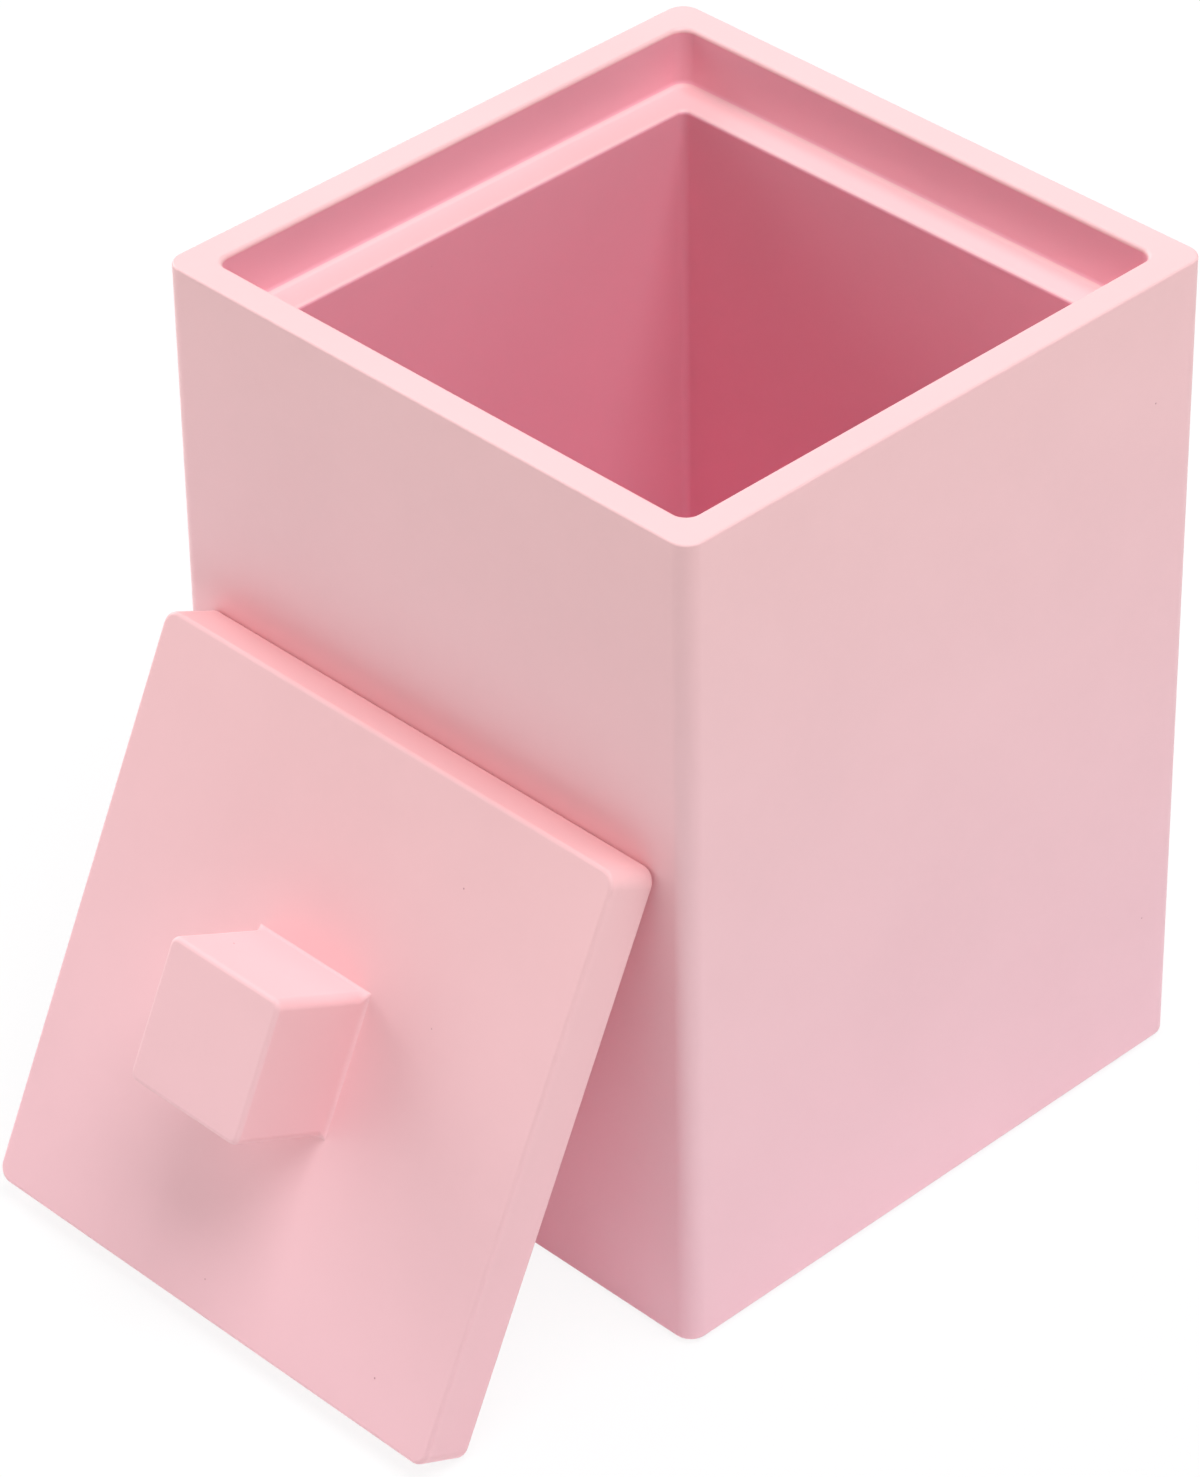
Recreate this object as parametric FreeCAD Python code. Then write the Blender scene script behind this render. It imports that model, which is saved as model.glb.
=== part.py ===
import FreeCAD, Part
import math
import os

Vector = FreeCAD.Vector

# Square canister for cotton swabs, cast in resin, with its loose lid leaning against the front wall.
# Millimetres. X runs along the front wall, Y runs back from it, Z is up. The origin is on the
# surface that the canister stands on, under the middle of the box.

# The box
box_width = 76.2
box_height = 101.6
box_corner = 2.2
floor_thickness = 7.0
cavity_corner = 0.9
cavity_foot_round = 0.8
base_round = 0.5

# The stepped mouth: a rim, a rebate that takes the lid, and the ledge that the lid rests on
rim_width = 3.8
rim_round = 0.25
rebate_depth = 7.1
rebate_corner = 1.8
rebate_fillet = 0.8
ledge_width = 4.2
mouth_round = 0.5

# The lid, a slab that drops into the rebate with the same gap all round
lid_clearance = 0.5
lid_thickness = 6.6
lid_round = 0.5

# The knob, a square block on the middle of the lid
knob_width = 16.6
knob_height = 13.4
knob_corner = 1.1
knob_round = 0.6

# The lid's lean, measured from upright, and the gap left at its top edge
lean_angle = 25.4
lean_gap = 0.1

# The brass insert in the knob, with a groove round it that the resin grips
insert_diameter = 6.0
insert_length = 8.0
insert_clearance = 0.05
insert_groove_width = 2.0
insert_groove_depth = 0.5
bore_run_out = 1.0

# The countersunk screw that holds the knob, put in from under the lid
screw_diameter = 4.0
screw_head = 7.6
screw_bite = 6.0
head_sink = 0.3
screw_hole_clearance = 0.25
head_clearance = 0.05
thread_clearance = 0.05
socket_across_flats = 2.5
socket_depth = 1.3

# The four foot pads, each in a recess near a corner of the base
pad_diameter = 10.0
pad_thickness = 1.2
pad_stand = 0.4
pad_clearance = 0.3
pad_inset = 10.0
pad_round = 0.2

# Lengths closer than this count as equal when an edge or a face is looked up
same = 0.001


def limited(radius, *walls):
    """A round that leaves some flat on the thinnest of the walls beside it."""
    return min(radius, 0.45 * min(walls))


# Worked out from the sizes above
opening_width = box_width - 2 * rim_width
cavity_width = opening_width - 2 * ledge_width
lid_width = opening_width - 2 * lid_clearance
lid_corner = rebate_corner
lid_edge_round = limited(lid_round, lid_thickness, 2 * lid_corner)
base_level = pad_stand
rim_level = base_level + box_height
ledge_level = rim_level - rebate_depth
floor_level = base_level + floor_thickness
pad_place = box_width / 2 - pad_inset


def slab(width, height, corner, base):
    """A square slab centred on Z, with its upright corners rounded."""
    block = Part.makeBox(width, width, height, Vector(-width / 2, -width / 2, base))
    upright = [edge for edge in block.Edges if abs(edge.BoundBox.ZLength - height) < same]
    return block.makeFillet(limited(corner, width), upright)


def level_face(shape, level):
    """The flat face that lies at this height."""
    for face in shape.Faces:
        box = face.BoundBox
        if abs(box.ZMin - level) < same and abs(box.ZMax - level) < same:
            return face


def inner_edges(face):
    """The edges round the hole in a ring-shaped face."""
    outside = face.OuterWire.hashCode()
    return [edge for wire in face.Wires if wire.hashCode() != outside for edge in wire.Edges]


def make_box():
    """The casting: outside, cavity, rebate for the lid, and recesses for the pads."""
    body = slab(box_width, box_height, box_corner, base_level)
    body = body.makeFillet(limited(rim_round, rim_width), level_face(body, rim_level).OuterWire.Edges)
    body = body.makeFillet(base_round, level_face(body, base_level).OuterWire.Edges)

    cavity = slab(cavity_width, rim_level - floor_level, cavity_corner, floor_level)
    foot_round = limited(cavity_foot_round, 2 * cavity_corner)
    cavity = cavity.makeFillet(foot_round, level_face(cavity, floor_level).Edges)
    rebate = slab(opening_width, rebate_depth, rebate_corner, ledge_level)
    fillet = limited(rebate_fillet, ledge_width, rebate_depth, rebate_corner)
    rebate = rebate.makeFillet(fillet, level_face(rebate, ledge_level).Edges)
    body = body.cut(cavity.fuse(rebate))

    rim_inside = limited(mouth_round, rim_width)
    body = body.makeFillet(rim_inside, inner_edges(level_face(body, rim_level)))
    ledge_inside = limited(mouth_round, ledge_width)
    body = body.makeFillet(ledge_inside, inner_edges(level_face(body, ledge_level)))

    recess_radius = pad_diameter / 2 + pad_clearance
    recess_depth = pad_thickness - pad_stand
    for x, y in pad_places():
        body = body.cut(Part.makeCylinder(recess_radius, recess_depth, Vector(x, y, base_level)))
    return body


def pad_places():
    """The centres of the four pads, anticlockwise from the front left corner."""
    near, far = -pad_place, pad_place
    return [(near, near), (far, near), (far, far), (near, far)]


def make_pad(x, y):
    """A round pad that stands a little below the base, with its lower edge eased."""
    pad = Part.makeCylinder(pad_diameter / 2, pad_thickness, Vector(x, y, 0))
    return pad.makeFillet(limited(pad_round, pad_thickness), level_face(pad, 0).Edges)


def turned(profile, base):
    """A solid of revolution about Z, from the radii and heights of its outline's corners."""
    points = [Vector(radius, 0, base + height) for radius, height in profile]
    outline = Part.makePolygon(points + [points[0]])
    return Part.Face(outline).revolve(Vector(0, 0, 0), Vector(0, 0, 1), 360)


def screw_form(gap, head_base, shank_length):
    """A countersunk head and its shank, with a gap added to the head's radius."""
    head_radius = screw_head / 2 + gap
    shank_radius = screw_diameter / 2
    cone = head_radius - shank_radius
    return turned([(0, 0), (head_radius, 0), (shank_radius, cone), (shank_radius, shank_length),
                   (0, shank_length)], head_base)


def make_lid():
    """The lid, level, with its underside at zero and the screw's hole through its middle."""
    lid = slab(lid_width, lid_thickness, lid_corner, 0)
    lid = lid.makeFillet(lid_edge_round, level_face(lid, lid_thickness).Edges)
    lid = lid.makeFillet(lid_edge_round, level_face(lid, 0).Edges)

    countersink = screw_form(head_clearance, head_sink, lid_thickness)
    mouth = Part.makeCylinder(screw_head / 2 + head_clearance, head_sink)
    shank_hole = Part.makeCylinder(screw_diameter / 2 + screw_hole_clearance, lid_thickness)
    return lid.cut(countersink.fuse([mouth, shank_hole]))


def make_knob():
    """The knob, seated on the lid, with a blind bore for the insert."""
    knob = slab(knob_width, knob_height, knob_corner, lid_thickness)
    top_round = limited(knob_round, knob_height, 2 * knob_corner)
    knob = knob.makeFillet(top_round, level_face(knob, lid_thickness + knob_height).Edges)

    bore_radius = insert_diameter / 2 + insert_clearance
    bore_depth = insert_length + bore_run_out
    return knob.cut(Part.makeCylinder(bore_radius, bore_depth, Vector(0, 0, lid_thickness)))


def make_insert():
    """The brass insert, flush with the knob's underside."""
    radius = insert_diameter / 2
    waist = radius - insert_groove_depth
    low = (insert_length - insert_groove_width) / 2
    high = (insert_length + insert_groove_width) / 2
    bore = screw_diameter / 2 + thread_clearance
    return turned([(bore, 0), (radius, 0), (radius, low), (waist, low), (waist, high),
                   (radius, high), (radius, insert_length), (bore, insert_length)], lid_thickness)


def hexagon(across_flats, level):
    """A level six-sided face round the Z axis, at this height."""
    radius = across_flats / 2 / math.cos(math.pi / 6)
    turns = [side * math.pi / 3 for side in range(7)]
    corners = [Vector(radius * math.sin(turn), radius * math.cos(turn), level) for turn in turns]
    return Part.Face(Part.makePolygon(corners))


def make_screw():
    """The screw, its head just inside the lid's lower face and its tip inside the insert."""
    length = lid_thickness - head_sink + screw_bite
    socket = hexagon(socket_across_flats, head_sink).extrude(Vector(0, 0, socket_depth))
    return screw_form(0, head_sink, length).cut(socket)


def lean_placement():
    """Where the level lid goes: tipped up about X, its lower edge down and its upper edge at the wall."""
    tip = math.radians(90 - lean_angle)
    reach = lid_width / 2 - lid_edge_round
    wall = -box_width / 2 - lean_gap
    y_shift = wall - lid_edge_round * (1 - math.sin(tip)) - reach * math.cos(tip)
    z_shift = lid_edge_round * (1 - math.cos(tip)) + reach * math.sin(tip)
    turn = FreeCAD.Rotation(Vector(1, 0, 0), math.degrees(tip))
    return FreeCAD.Placement(Vector(0, y_shift, z_shift), turn)


pieces = {"box": make_box()}
for number, (x, y) in enumerate(pad_places(), start=1):
    pieces[f"foot_pad_{number}"] = make_pad(x, y)

lean = lean_placement()
for name, make in (("lid", make_lid), ("knob", make_knob),
                   ("knob_insert", make_insert), ("knob_screw", make_screw)):
    pieces[name] = make()
    pieces[name].Placement = lean

os.makedirs("parts", exist_ok=True)
for name, piece in pieces.items():
    piece.exportStep(f"parts/{name}.step")
    bounds = piece.BoundBox
    print(name, len(piece.Solids), "solid", piece.isValid(), "volume", round(piece.Volume, 1),
          "z", round(bounds.ZMin, 3), "to", round(bounds.ZMax, 3))
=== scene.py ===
# %% [markdown]
# # A swab canister in pink resin, with its lid leaning on it
#
# The real object is three castings in one pink resin: a square box with a stepped mouth, a slab of a
# lid, and a square knob on the lid. A screw, a threaded insert and four foot pads are hidden. The
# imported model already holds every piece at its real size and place, so this lesson only gives the
# castings a finer surface, and gives every piece its finish. The frame is loaded first, because all
# later sizes are read from it.

# %% Load the frame
from math import radians

import bmesh
import bpy
from mathutils import Matrix, Vector


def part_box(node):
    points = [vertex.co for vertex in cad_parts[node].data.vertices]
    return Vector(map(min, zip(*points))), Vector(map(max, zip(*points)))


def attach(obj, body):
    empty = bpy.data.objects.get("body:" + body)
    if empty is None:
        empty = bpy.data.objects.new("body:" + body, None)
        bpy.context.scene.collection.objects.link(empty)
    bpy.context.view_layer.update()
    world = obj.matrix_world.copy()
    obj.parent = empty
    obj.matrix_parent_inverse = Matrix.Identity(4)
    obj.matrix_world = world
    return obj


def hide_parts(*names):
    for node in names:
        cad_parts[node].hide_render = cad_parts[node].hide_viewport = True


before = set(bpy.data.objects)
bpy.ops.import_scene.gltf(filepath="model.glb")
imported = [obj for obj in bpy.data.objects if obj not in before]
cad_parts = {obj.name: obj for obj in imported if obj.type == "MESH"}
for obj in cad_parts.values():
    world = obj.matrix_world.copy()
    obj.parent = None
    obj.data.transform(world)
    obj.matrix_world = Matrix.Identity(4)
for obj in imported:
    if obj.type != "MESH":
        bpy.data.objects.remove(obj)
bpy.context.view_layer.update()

MM = 0.001
print("nodes in the frame:", sorted(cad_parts))

# %% [markdown]
# ## Measure the pieces
#
# A resin lid that leans is awkward to describe by its upright bounding box. Its own axes could be
# typed in as an angle, but then they would be wrong after any change to the model. So the lid's
# largest flat face is looked up, and the piece is measured along that face's own directions.

# %% The lid's own axes, read from its mesh
ACROSS = Vector((1, 0, 0))


def facing(node, side):
    """The normal of the node's largest triangle among those that look towards this side."""
    faces = [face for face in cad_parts[node].data.polygons if face.normal.dot(side) > 0.5]
    return max(faces, key=lambda face: face.area).normal.normalized()


def reach(node, direction):
    """How far the node reaches along a direction: its lowest and highest values there."""
    places = [vertex.co.dot(direction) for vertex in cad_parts[node].data.vertices]
    return min(places), max(places)


lid_out = facing("lid", Vector((0, -1, 0)))
lid_up = lid_out.cross(ACROSS)
lid_low, lid_high = reach("lid", lid_up)
lid_back, lid_front = reach("lid", lid_out)
lid_width = lid_high - lid_low
lid_thickness = lid_front - lid_back
lid_middle = lid_up * (lid_low + lid_high) / 2 + lid_out * lid_back
LEAN = Matrix((ACROSS, lid_up, lid_out)).transposed().to_4x4()
LEAN.translation = lid_middle

knob_width = reach("knob", ACROSS)[1] * 2
knob_height = reach("knob", lid_out)[1] - lid_front
box_low, box_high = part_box("box")
box_width = box_high[0] - box_low[0]
print("lid mm:", round(lid_width / MM, 2), "wide,", round(lid_thickness / MM, 2), "thick")
print("knob mm:", round(knob_width / MM, 2), "wide,", round(knob_height / MM, 2), "high")

# %% [markdown]
# ## Tools for square castings
#
# Every casting here is a stack of rounded squares: outside, rim, ledge, cavity. By hand one would add
# a plane, bevel its four corners, keep only the outline, and bridge it to the next one. A helper does
# just that, so each piece can be told as a short list of steps. All outlines have the same number of
# points, so the bridges are clean rows of quads, and a bevel run round them never pinches. Two outlines
# that lie in one plane can be bridged the wrong way round, so the outlines are first set one above the
# other like a tower, bridged, and only then slid to their real heights.

# %% Outlines, bridges and bevels
CORNER_STEPS = 10
NEAR = 0.01 * MM
TOWER_STEP = 100 * MM


def deselect_objects():
    """Nothing stays selected from the step before."""
    bpy.ops.object.select_all(action="DESELECT")


def work_on(piece):
    """Select this piece alone and make it the active one."""
    deselect_objects()
    piece.select_set(True)
    bpy.context.view_layer.objects.active = piece


def open_mesh(piece):
    """The mesh of a piece in edit mode, ready to be read by number."""
    mesh = bmesh.from_edit_mesh(piece.data)
    mesh.verts.ensure_lookup_table()
    return mesh


def start_piece(name):
    """An empty mesh object, open in edit mode."""
    piece = bpy.data.objects.new(name, bpy.data.meshes.new(name))
    bpy.context.scene.collection.objects.link(piece)
    work_on(piece)
    bpy.ops.object.mode_set(mode="EDIT")
    bpy.ops.mesh.select_mode(type="VERT")
    return piece


def add_outline(piece, half_width, corner, level):
    """A rounded square at this height, without its face. Returns the numbers of its vertices."""
    bpy.ops.mesh.select_all(action="DESELECT")
    bpy.ops.mesh.primitive_plane_add(size=2 * half_width, location=(0, 0, level))
    bpy.ops.mesh.bevel(offset=corner, segments=CORNER_STEPS, affect="VERTICES", clamp_overlap=False)
    mesh = open_mesh(piece)
    outline = [vertex.index for vertex in mesh.verts if vertex.select]
    bpy.ops.mesh.delete(type="ONLY_FACE")
    return outline


def select_outlines(piece, *outlines):
    """Select the vertices of these outlines and nothing else."""
    bpy.ops.mesh.select_all(action="DESELECT")
    mesh = open_mesh(piece)
    for outline in outlines:
        for number in outline:
            mesh.verts[number].select_set(True)
    mesh.select_flush(True)
    bmesh.update_edit_mesh(piece.data)


def stack(piece, steps):
    """Bridge outlines, each given as half width, corner radius and height, and cap the two ends."""
    outlines = [add_outline(piece, step[0], step[1], number * TOWER_STEP)
                for number, step in enumerate(steps)]
    for lower, upper in zip(outlines, outlines[1:]):
        select_outlines(piece, lower, upper)
        bpy.ops.mesh.bridge_edge_loops()
    for number, (outline, step) in enumerate(zip(outlines, steps)):
        select_outlines(piece, outline)
        bpy.ops.transform.translate(value=(0, 0, step[2] - number * TOWER_STEP))
    for end in (outlines[0], outlines[-1]):
        select_outlines(piece, end)
        bpy.ops.mesh.edge_face_add()


def round_ring(piece, level, inner, outer, radius, segments):
    """Bevel the ring of edges that lies at this height, between two distances from the middle."""
    bpy.ops.mesh.select_mode(type="EDGE")
    bpy.ops.mesh.select_all(action="DESELECT")
    mesh = open_mesh(piece)

    def on_ring(vertex):
        apart = max(abs(vertex.co.x), abs(vertex.co.y))
        return abs(vertex.co.z - level) < NEAR and inner < apart < outer

    ring = [edge for edge in mesh.edges if on_ring(edge.verts[0]) and on_ring(edge.verts[1])]
    for edge in ring:
        edge.select_set(True)
    bmesh.update_edit_mesh(piece.data)
    bpy.ops.mesh.bevel(offset=radius, segments=segments, affect="EDGES", clamp_overlap=False)
    print("  rounded", len(ring), "edges by", round(radius / MM, 2), "mm")


def close_piece(piece):
    """Merge doubles, turn all faces outwards and leave edit mode."""
    bpy.ops.mesh.select_mode(type="VERT")
    bpy.ops.mesh.select_all(action="SELECT")
    bpy.ops.mesh.remove_doubles(threshold=0.001 * MM)
    bpy.ops.mesh.normals_make_consistent(inside=False)
    bpy.ops.object.mode_set(mode="OBJECT")


def apply_modifier(piece, kind, **settings):
    """Add a modifier, set it up and apply it."""
    work_on(piece)
    modifier = piece.modifiers.new(kind.title(), kind)
    for key, value in settings.items():
        setattr(modifier, key, value)
    bpy.ops.object.modifier_apply(modifier=modifier.name)


SHARP_ANGLE = radians(40)


def shade(piece):
    """Smooth rounds beside truly flat faces: big faces decide the normals along their edges."""
    work_on(piece)
    bpy.ops.object.shade_smooth_by_angle(angle=SHARP_ANGLE)
    apply_modifier(piece, "WEIGHTED_NORMAL", keep_sharp=True, weight=100)


# %% [markdown]
# ## The box
#
# The casting is one skin that goes up the outside, over the rim, down to the ledge and down again
# into the cavity. It could be cut with booleans, but the rounds differ from edge to edge: the outer
# rim is crisp, the mouth is softer, and the rebate has a small fillet at its foot. One bridged skin
# lets each ring of edges take its own bevel.

# %% Stack the box
RIM_WIDTH = 3.8 * MM
REBATE_DEPTH = 7.1 * MM
LEDGE_WIDTH = 4.2 * MM
FLOOR_THICKNESS = 7.0 * MM
BOX_CORNER = 2.2 * MM
REBATE_CORNER = 1.8 * MM
CAVITY_CORNER = 0.9 * MM

base = box_low[2]
rim = box_high[2]
ledge = rim - REBATE_DEPTH
floor = base + FLOOR_THICKNESS
outside = box_width / 2
opening = outside - RIM_WIDTH
cavity = opening - LEDGE_WIDTH

canister = start_piece("canister")
stack(canister, [
    (outside, BOX_CORNER, base),
    (outside, BOX_CORNER, rim),
    (opening, REBATE_CORNER, rim),
    (opening, REBATE_CORNER, ledge),
    (cavity, CAVITY_CORNER, ledge),
    (cavity, CAVITY_CORNER, floor),
])

# %% Round the box's edges, each ring by its own radius
BASE_ROUND = 0.5 * MM
RIM_ROUND = 0.25 * MM
MOUTH_ROUND = 0.5 * MM
REBATE_FILLET = 0.8 * MM
CAVITY_FILLET = 0.8 * MM

beyond = outside + MM
mid_rim = (outside + opening) / 2
mid_ledge = (opening + cavity) / 2
round_ring(canister, base, cavity, beyond, BASE_ROUND, segments=4)
round_ring(canister, rim, mid_rim, beyond, RIM_ROUND, segments=4)
round_ring(canister, rim, mid_ledge, mid_rim, MOUTH_ROUND, segments=5)
round_ring(canister, ledge, mid_ledge, outside, REBATE_FILLET, segments=5)
round_ring(canister, ledge, 0, mid_ledge, MOUTH_ROUND, segments=5)
round_ring(canister, floor, 0, mid_ledge, CAVITY_FILLET, segments=6)
close_piece(canister)
print("box:", len(canister.data.polygons), "faces")

# %% [markdown]
# ## Recesses for the foot pads
#
# The four pads sit in shallow round recesses in the base. A boolean with a cylinder is how one would
# drill them, and it is the right tool here: the recess has a sharp edge and crosses only one face.

# %% Drill the recesses
PAD_GAP = 0.3 * MM
ROUND_STEPS = 64


def drill(piece, cutter):
    """Cut one closed mesh out of another, then throw the cutter away."""
    apply_modifier(piece, "BOOLEAN", operation="DIFFERENCE", solver="EXACT", object=cutter)
    bpy.data.objects.remove(cutter)


pad_names = [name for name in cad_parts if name.startswith("foot_pad")]
for name in pad_names:
    pad_low, pad_high = (Vector(corner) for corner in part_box(name))
    pad_middle = (pad_low + pad_high) / 2
    radius = (pad_high.x - pad_low.x) / 2 + PAD_GAP
    deselect_objects()
    bpy.ops.mesh.primitive_cylinder_add(vertices=ROUND_STEPS, radius=radius, depth=2 * (pad_high.z - base),
                                        location=(pad_middle.x, pad_middle.y, base))
    drill(canister, bpy.context.active_object)
shade(canister)
print("pads let in:", len(pad_names))

# %% [markdown]
# ## The lid
#
# The lid is a slab whose corners follow the rebate's, with soft edges all round. It is modelled level,
# because outlines and bevels are easy to pick by their height, and tipped into its leaning place at
# the end. The screw that holds the knob comes up from below, so the slab also gets a countersunk hole.

# %% Stack the lid and round its edges
LID_ROUND = 0.5 * MM

lid_piece = start_piece("lid_slab")
lid_half = lid_width / 2
stack(lid_piece, [(lid_half, REBATE_CORNER, 0), (lid_half, REBATE_CORNER, lid_thickness)])
round_ring(lid_piece, 0, 0, outside, LID_ROUND, segments=6)
round_ring(lid_piece, lid_thickness, 0, outside, LID_ROUND, segments=6)
close_piece(lid_piece)

# %% Sink the screw's hole from below
HEAD_HOLE_RADIUS = 3.85 * MM
SHANK_HOLE_RADIUS = 2.25 * MM
HEAD_SINK = 0.3 * MM

deselect_objects()
bpy.ops.mesh.primitive_cylinder_add(vertices=ROUND_STEPS, radius=SHANK_HOLE_RADIUS,
                                    depth=4 * lid_thickness)
drill(lid_piece, bpy.context.active_object)
cone_height = HEAD_HOLE_RADIUS - SHANK_HOLE_RADIUS
deselect_objects()
bpy.ops.mesh.primitive_cone_add(vertices=ROUND_STEPS, radius1=HEAD_HOLE_RADIUS,
                                radius2=SHANK_HOLE_RADIUS, depth=cone_height,
                                location=(0, 0, HEAD_SINK + cone_height / 2))
countersink = bpy.context.active_object
bpy.ops.object.mode_set(mode="EDIT")
bpy.ops.mesh.select_all(action="DESELECT")
cone_mesh = open_mesh(countersink)
for face in cone_mesh.faces:
    face.select_set(face.normal.z < -0.9)
bmesh.update_edit_mesh(countersink.data)
bpy.ops.mesh.extrude_region_move(TRANSFORM_OT_translate={"value": (0, 0, -2 * HEAD_SINK)})
bpy.ops.object.mode_set(mode="OBJECT")
drill(lid_piece, countersink)
shade(lid_piece)


def lean(piece):
    """Tip a level piece of the lid into its place, and keep the object itself at the origin."""
    work_on(piece)
    piece.matrix_world = LEAN
    bpy.ops.object.transform_apply(location=True, rotation=True, scale=True)


lean(lid_piece)
print("lid:", len(lid_piece.data.polygons), "faces")

# %% [markdown]
# ## The knob
#
# The knob is a square block with soft upright corners. Where it meets the lid it flares out a little:
# the resin crept under the block and was left with a thin, nearly sharp foot. The flare is a few
# outlines that narrow quickly, which catches the light as a pale line round the base.

# %% Stack the knob and round its top
KNOB_CORNER = 1.1 * MM
KNOB_ROUND = 0.6 * MM
FOOT_FLARE = 0.22 * MM
FOOT_HEIGHT = 1.3 * MM
FOOT_CORNER = 0.12 * MM
FLARE_STEPS = 8

knob_half = knob_width / 2
seat = lid_thickness
top = lid_thickness + knob_height
knob_piece = start_piece("knob_block")
flare = []
for step in range(FLARE_STEPS + 1):
    rise = (step / FLARE_STEPS) ** 1.5
    corner = KNOB_CORNER + (FOOT_CORNER - KNOB_CORNER) * (1 - rise) ** 2
    flare.append((knob_half + FOOT_FLARE * (1 - rise) ** 5, corner, seat + FOOT_HEIGHT * rise))
stack(knob_piece, flare + [(knob_half, KNOB_CORNER, top)])
round_ring(knob_piece, top, 0, outside, KNOB_ROUND, segments=6)
close_piece(knob_piece)

# %% Drill the bore that holds the insert
BORE_RADIUS = 3.05 * MM
BORE_DEPTH = 9.0 * MM

deselect_objects()
bpy.ops.mesh.primitive_cylinder_add(vertices=ROUND_STEPS, radius=BORE_RADIUS, depth=2 * BORE_DEPTH,
                                    location=(0, 0, seat))
drill(knob_piece, bpy.context.active_object)
shade(knob_piece)
lean(knob_piece)
print("knob:", len(knob_piece.data.polygons), "faces")

# %% [markdown]
# ## Hang the pieces on their bodies
#
# The new castings stand for the plain ones in the frame and ride on the same bodies.

# %% Ride and replace
for piece, body, node in ((canister, "canister", "box"), (lid_piece, "cover", "lid"),
                          (knob_piece, "cover", "knob")):
    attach(piece, body)
    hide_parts(node)
    print(piece.name, "rides on", body, "and replaces", node)

# %% [markdown]
# ## Tools for materials
#
# All patterns are procedural and read Object coordinates, so they stay in place when the lid moves and
# need no image. Small helpers keep each finish readable.

# %% Node helpers

class Finish:
    """A material under construction: its node tree, its shader and its pattern coordinates."""

    def __init__(self, name):
        self.material = bpy.data.materials.new(name)
        self.material.use_nodes = True
        self.tree = self.material.node_tree
        self.shader = self.tree.nodes["Principled BSDF"]
        self.place = self.tree.nodes.new("ShaderNodeTexCoord").outputs["Object"]

    def node(self, kind, inputs=(), **settings):
        """Add a node. Inputs are numbers, colours or sockets of other nodes, by name or number."""
        made = self.tree.nodes.new(kind)
        for key, value in settings.items():
            setattr(made, key, value)
        for key, value in dict(inputs).items():
            if isinstance(value, bpy.types.NodeSocket):
                self.tree.links.new(value, made.inputs[key])
            else:
                made.inputs[key].default_value = value
        return made

    def noise(self, size, detail=2.0, roughness=0.5):
        """Noise whose features are about this size, in metres."""
        made = self.node("ShaderNodeTexNoise", {"Vector": self.place, "Scale": 1 / size, "Detail": detail,
                                                "Roughness": roughness})
        return made.outputs["Fac"]

    def spread(self, value, low, high, to_low, to_high):
        """Stretch a value from one range to another, and stop at its ends."""
        made = self.node("ShaderNodeMapRange", {"Value": value, "From Min": low, "From Max": high,
                                                "To Min": to_low, "To Max": to_high})
        return made.outputs["Result"]

    def blend(self, amount, first, second):
        """Mix two colours."""
        made = self.node("ShaderNodeMix", {"Factor": amount, "A": first, "B": second}, data_type="RGBA")
        return made.outputs["Result"]

    def bump(self, height, distance, normal=None):
        """Raise the surface by up to this distance, in metres, on top of another bump."""
        inputs = {"Height": height, "Distance": distance, "Strength": 1.0}
        if normal is not None:
            inputs["Normal"] = normal
        return self.node("ShaderNodeBump", inputs).outputs["Normal"]

    def set(self, values):
        """Set the shader's inputs, or link them where the value is another node's socket."""
        for key, value in values.items():
            if isinstance(value, bpy.types.NodeSocket):
                self.tree.links.new(value, self.shader.inputs[key])
            else:
                self.shader.inputs[key].default_value = value


print("helpers ready")


# %% [markdown]
# ## Pink cast resin
#
# The colour goes right through the casting. The outside, the rim and the ledge were sanded after the box
# left the mould, which leaves them more matt, while the rest of the inside and the lid's underside, which
# nobody sees in use, keep the smoother skin of the mould. Those faces are also given a deeper pink than
# the sanded ones, which is painted shade. The lid is a casting of its own and came out a shade deeper than
# the box.
#
# Close up none is quite even: a painted tint of cool light makes the pink warm at the top and cooler near
# the floor, the pigment lies in broad soft clouds, a few pinholes show where air escaped, with painted
# shade in them, and sanded faces are never perfectly flat. One recipe with three colours makes every
# finish, and noise keeps its real scale on every piece.

# %% Pink resin recipe
PINHOLE_APART = 9 * MM
PINHOLE_RADIUS = 0.14 * MM
PINHOLE_DEPTH = 0.05 * MM
# The pinholes' dark colour is painted shade inside the pits.
PINHOLE_PAINTED_SHADE = (0.56, 0.22, 0.26, 1)
# Painted light: how much bluer the pink turns at the floor, and warmer at the rim.
PAINTED_COOL_BELOW = 0.045
UNEVENNESS = 0.015


def shifted(colour, lighter, cooler):
    """The colour made lighter by this share, and its blue by another share on top."""
    red, green, blue = (part * (1 + lighter) for part in colour)
    return red, green, blue * (1 + cooler), 1


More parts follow.
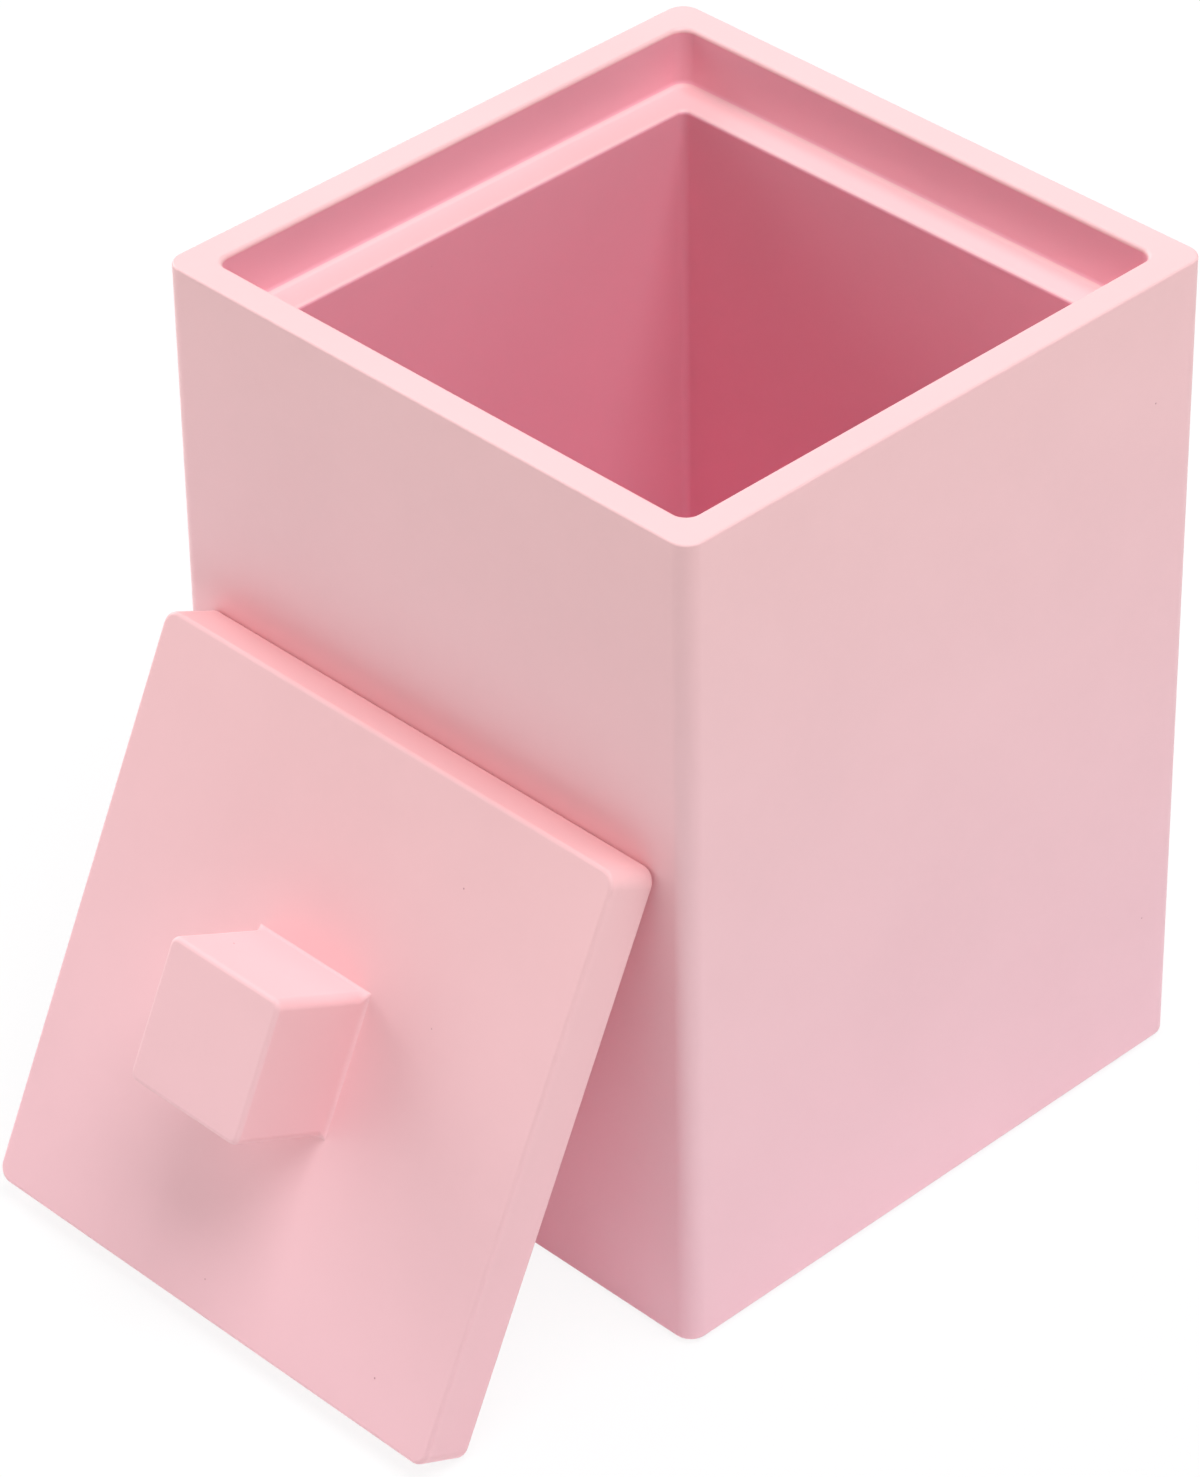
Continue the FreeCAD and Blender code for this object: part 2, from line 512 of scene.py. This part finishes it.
def cast_resin(name, colour, roughness):
    """Resin of this colour, with clouds, a fine grain, pinholes with painted shade, a painted tint of cool
    light toward the floor and a wavy surface.
    """
    resin = Finish(name)
    height = resin.node("ShaderNodeSeparateXYZ", {"Vector": resin.place}).outputs["Z"]
    # Painted light: the pink turns bluer toward the floor and warmer toward the rim, standing in for cool
    # light from below.
    painted_cool_light = resin.spread(height, 0, rim, 1, 0)
    pale = resin.blend(painted_cool_light, shifted(colour, UNEVENNESS, -PAINTED_COOL_BELOW),
                       shifted(colour, UNEVENNESS, PAINTED_COOL_BELOW))
    deep = resin.blend(painted_cool_light, shifted(colour, -UNEVENNESS, -PAINTED_COOL_BELOW),
                       shifted(colour, -UNEVENNESS, PAINTED_COOL_BELOW))
    clouds = resin.spread(resin.noise(24 * MM, detail=3), 0.35, 0.65, 0, 1)
    grain = resin.spread(resin.noise(1.6 * MM, detail=3, roughness=0.6), 0.4, 0.8, 0, 0.35)
    clouded = resin.blend(grain, resin.blend(clouds, deep, pale), pale)

    cells = resin.node("ShaderNodeTexVoronoi", {"Vector": resin.place, "Scale": 1 / PINHOLE_APART})
    apart = resin.node("ShaderNodeMath", {0: cells.outputs["Distance"], 1: PINHOLE_APART},
                       operation="MULTIPLY").outputs["Value"]
    pit_and_painted_shade = resin.spread(apart, 0.4 * PINHOLE_RADIUS, PINHOLE_RADIUS, 1, 0)

    satin = resin.noise(7 * MM, detail=4, roughness=0.6)
    wavy = resin.bump(resin.noise(28 * MM, detail=0), 0.12 * MM)
    peeled = resin.bump(resin.noise(0.9 * MM), 0.004 * MM, wavy)
    # Each pinhole is a real small dent, darkened with painted shade.
    resin.set({"Base Color": resin.blend(pit_and_painted_shade, clouded, PINHOLE_PAINTED_SHADE),
               "Roughness": resin.spread(satin, 0.3, 0.7, roughness - 0.05, roughness + 0.05),
               "Normal": resin.bump(pit_and_painted_shade, -PINHOLE_DEPTH, peeled),
               "IOR": 1.49, "Specular IOR Level": 0.48})
    return resin.material


# %% Sanded outside, cast inside with painted shade, and the lid
BOX_PINK = (0.905, 0.555, 0.588)
# The cast pink is deeper than the sanded pink: painted shade on the inside faces and under the lid.
CAST_PINK_PAINTED_SHADE = (0.863, 0.422, 0.520)
LID_PINK = (0.905, 0.538, 0.555)

sanded_box = cast_resin("sanded_box_resin", BOX_PINK, roughness=0.47)
as_cast_painted_shade = cast_resin("as_cast_resin", CAST_PINK_PAINTED_SHADE, roughness=0.42)
sanded_lid = cast_resin("sanded_lid_resin", LID_PINK, roughness=0.47)
canister.data.materials.append(sanded_box)
canister.data.materials.append(as_cast_painted_shade)
for piece in (lid_piece, knob_piece):
    piece.data.materials.append(sanded_lid)
lid_piece.data.materials.append(as_cast_painted_shade)

# The faces inside the cavity, off the rim and the ledge, take the deeper pink: painted shade.
inside_faces = 0
for face in canister.data.polygons:
    middle = face.center
    within = max(abs(middle.x), abs(middle.y)) < opening + NEAR
    on_the_ledge = middle.z > ledge - MM and face.normal.z > 0.5
    if within and floor - NEAR < middle.z < rim - MOUTH_ROUND and not on_the_ledge:
        face.material_index = 1
        inside_faces += 1
underside_faces = 0
# The lid's underside takes the deeper pink too: painted shade.
for face in lid_piece.data.polygons:
    if face.normal.dot(lid_out) < -0.9:
        face.material_index = 1
        underside_faces += 1
print("faces that keep the mould's skin:", inside_faces, "inside,", underside_faces, "under the lid")

# %% [markdown]
# ## Brass insert, steel screw and rubber pads
#
# These stay as the frame has them, since their shapes are right, but a plain grey won't do when the
# part is turned over. The insert and the screw were turned on a lathe, so fine rings run round the
# lid's own axis. The pads are soft milky plastic with a slightly rough skin.

# %% Brass and zinc, with rings left by the lathe
def lathe_finish(name, light, dark, roughness):
    """A turned metal: rings round the screw's axis, and small stains between them."""
    metal = Finish(name)
    level = metal.node("ShaderNodeMapping", {"Vector": metal.place, "Location": -lid_middle},
                       vector_type="POINT").outputs["Vector"]
    upright = metal.node("ShaderNodeVectorRotate", {"Vector": level, "Angle": -LEAN.to_euler().x},
                         rotation_type="X_AXIS").outputs["Vector"]
    rings = metal.node("ShaderNodeTexWave", {"Vector": upright, "Scale": 1 / (1.2 * MM), "Distortion": 0.6,
                                             "Detail": 1.0}, bands_direction="Z").outputs["Fac"]
    stains = metal.spread(metal.noise(1.5 * MM, detail=4), 0.35, 0.7, 0, 1)
    metal.set({"Base Color": metal.blend(stains, light, dark), "Metallic": 1.0,
               "Roughness": metal.spread(stains, 0, 1, roughness, roughness + 0.12),
               "Normal": metal.bump(rings, 0.004 * MM)})
    return metal.material


brass = lathe_finish("machined_brass", (0.86, 0.62, 0.28, 1), (0.62, 0.40, 0.17, 1), 0.24)
zinc = lathe_finish("zinc_steel", (0.72, 0.73, 0.75, 1), (0.52, 0.53, 0.56, 1), 0.28)

# %% Milky rubber
rubber = Finish("milky_rubber")
MILK = (0.80, 0.79, 0.76, 1)
MILK_YELLOWED = (0.74, 0.71, 0.65, 1)
rubber.set({"Base Color": rubber.blend(rubber.noise(3 * MM, detail=3), MILK, MILK_YELLOWED),
            "Roughness": rubber.spread(rubber.noise(0.8 * MM), 0.3, 0.7, 0.42, 0.58),
            "Normal": rubber.bump(rubber.noise(0.4 * MM), 0.01 * MM),
            "Subsurface Weight": 0.2, "Subsurface Radius": (1.0, 0.9, 0.8), "Subsurface Scale": MM})

finishes = {"knob_insert": brass, "knob_screw": zinc}
finishes.update({name: rubber.material for name in pad_names})
for name, material in finishes.items():
    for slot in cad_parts[name].material_slots:
        slot.material = material
print("finishes on", sorted(finishes))

# %% [markdown]
# ## Floor
#
# The photograph has plain white all round. The floor is a large white disc. A camera ray sees it as
# almost pure white with a trace of its real shading, so the soft shadow under the pieces stays, while
# it sends ordinary white light back up onto the walls. Far from the pieces that trace fades out, and
# the floor runs into the white background without a horizon.

# %% White floor
FLOOR_RADIUS = 4.0
FLOOR_WHITE = 0.93
SHOWN_WHITE = 0.88
FADE_FROM = 0.2
FADE_TO = 0.6

deselect_objects()
bpy.ops.mesh.primitive_circle_add(vertices=64, radius=FLOOR_RADIUS, fill_type="NGON", location=(0, 0, 0))
studio_floor = bpy.context.active_object
studio_floor.name = "studio_floor"


def seen_directly(tree):
    """1 for rays that show a thing itself: from the camera, in a reflection, or through glass."""
    rays = tree.nodes.new("ShaderNodeLightPath").outputs
    value = rays["Is Camera Ray"]
    for name in ("Is Glossy Ray", "Is Transmission Ray"):
        either = tree.nodes.new("ShaderNodeMath")
        either.operation = "MAXIMUM"
        tree.links.new(value, either.inputs[0])
        tree.links.new(rays[name], either.inputs[1])
        value = either.outputs["Value"]
    return value


paper = Finish("white_paper")
paper.set({"Base Color": (FLOOR_WHITE, FLOOR_WHITE, FLOOR_WHITE, 1), "Roughness": 0.9,
           "Specular IOR Level": 0.1})
glow = paper.node("ShaderNodeEmission", {"Color": (1, 1, 1, 1), "Strength": 1.0})
away = paper.node("ShaderNodeVectorMath", {0: paper.place}, operation="LENGTH").outputs["Value"]
shown = paper.spread(away, FADE_FROM, FADE_TO, SHOWN_WHITE, 1)
share = paper.node("ShaderNodeMath", {0: seen_directly(paper.tree), 1: shown}, operation="MULTIPLY")
both = paper.node("ShaderNodeMixShader", {0: share.outputs["Value"], 1: paper.shader.outputs["BSDF"],
                                          2: glow.outputs["Emission"]})
paper.tree.links.new(both.outputs["Shader"], paper.tree.nodes["Material Output"].inputs["Surface"])
studio_floor.data.materials.append(paper.material)
print("floor radius m:", FLOOR_RADIUS)

# %% [markdown]
# ## Light
#
# The knob tells how the object was lit. It throws one soft shadow down the lid and a second, fainter
# one to the right, so there is a wide lamp above, a little to the right, and wide lamps low on the left.
# The lamp above is a touch cooler than the others, since the rim and the knob's top lean to blue.
# The upright edge that points at the viewer is a little darker than the walls beside it, so hardly any
# light comes from the viewer's own side: a weak lamp far round on the right lights the right wall, and
# a pale room fills in the rest.

# %% World and lamps
ROOM_LIGHT = 0.22
ROOM_COLOUR = (1.0, 1.0, 1.0, 1)

world = bpy.data.worlds.new("pale_room")
world.use_nodes = True
bpy.context.scene.world = world
background = world.node_tree.nodes["Background"]
world_light = world.node_tree.nodes.new("ShaderNodeMix")
world_light.data_type = "FLOAT"
world.node_tree.links.new(seen_directly(world.node_tree), world_light.inputs["Factor"])
world_light.inputs["A"].default_value = ROOM_LIGHT
world_light.inputs["B"].default_value = 1.0
world.node_tree.links.new(world_light.outputs["Result"], background.inputs["Strength"])
background.inputs["Color"].default_value = ROOM_COLOUR


def soft_lamp(name, place, size, watts, colour=(1.0, 1.0, 1.0), aim=(0, 0, 0.05)):
    """A square area lamp that faces the point it is aimed at."""
    deselect_objects()
    bpy.ops.object.light_add(type="AREA", location=place)
    lamp = bpy.context.active_object
    lamp.name = name
    lamp.data.shape = "SQUARE"
    lamp.data.size = size
    lamp.data.energy = watts
    lamp.data.color = colour
    lamp.rotation_euler = (Vector(aim) - Vector(place)).to_track_quat("-Z", "Y").to_euler()
    lamp.visible_camera = False
    print(name, watts, "W")


soft_lamp("lamp_above", (0.4, 0, 1.25), 0.8, 14.8, colour=(0.955, 0.98, 1.0))
soft_lamp("lamp_left", (-1.2, 0, 0.6), 0.9, 9.2)
soft_lamp("lamp_front_left", (-0.9, -0.9, 0.45), 0.9, 3.0)
soft_lamp("lamp_back_right", (0.9, 0.9, 0.45), 0.9, 1.3)
bpy.context.scene.cycles.diffuse_bounces = 8

# %% [markdown]
# ## Camera
#
# The photograph was taken from above the right front corner with a long lens, so its upright edges
# stay nearly parallel. The camera's place and turn were fitted to the straight edges of the box and
# the lid, with the lens axis through the middle of the picture, so other views can swing round the
# same object without a shifted lens.

# %% Camera
CAMERA_PLACE = (0.3949, -0.3951, 0.4444)
LOOK_DOWN = 35.84
LOOK_TURN = 45.96
ROLL = -0.90
LENS = 154.3

deselect_objects()
bpy.ops.object.camera_add(location=CAMERA_PLACE)
camera = bpy.context.active_object
aim = Matrix.Rotation(radians(LOOK_TURN), 4, "Z") @ Matrix.Rotation(radians(90 - LOOK_DOWN), 4, "X")
camera.rotation_euler = (aim @ Matrix.Rotation(radians(ROLL), 4, "Z")).to_euler()
camera.data.lens = LENS
camera.data.sensor_width = 36
camera.data.clip_start = 0.01
bpy.context.scene.camera = camera
bpy.context.scene.view_settings.view_transform = "Standard"
print("camera at", [round(value, 4) for value in camera.location], "lens", LENS, "mm")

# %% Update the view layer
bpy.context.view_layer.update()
